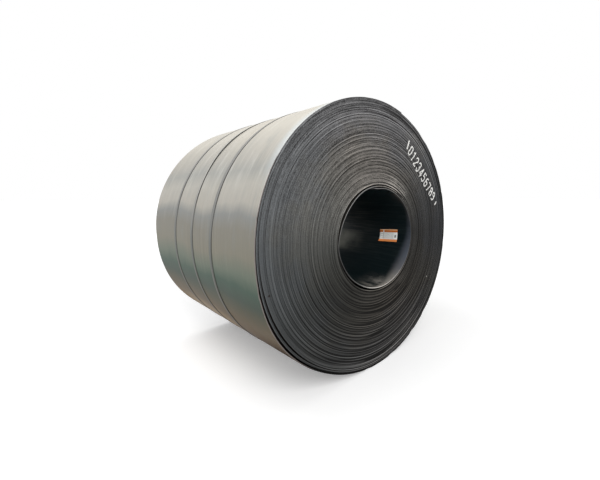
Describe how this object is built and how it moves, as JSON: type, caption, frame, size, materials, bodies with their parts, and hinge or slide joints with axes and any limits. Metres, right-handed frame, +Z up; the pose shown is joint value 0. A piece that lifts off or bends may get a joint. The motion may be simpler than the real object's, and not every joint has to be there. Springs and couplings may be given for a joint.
{
  "type": "steel coil",
  "caption": "Coil of hot-rolled steel strip lying on its side, bound with flat steel straps round its wall, with an open bore and a paper label inside it.",
  "frame": {"origin": "on the floor, under the middle of the coil", "axes": "the bore runs along Y, with the front end, where the label is, facing -Y; +Z is up"},
  "size_m": [1.5749, 1.35, 1.577],
  "materials": {
    "hot_rolled_steel": "mill scale, satin on the wall and dull on the strip's edges",
    "strap_steel": "dark, lightly oiled",
    "seal_steel": "crimped, satin",
    "label_paper": "white with orange bands, matt"
  },
  "bodies": {
    "root": {"coil": "hot_rolled_steel", "strap_front": "strap_steel", "strap_middle": "strap_steel", "strap_back": "strap_steel", "strap_seal_front": "seal_steel", "strap_seal_middle": "seal_steel", "strap_seal_back": "seal_steel", "bore_label": "label_paper"}
  },
  "joints": []
}
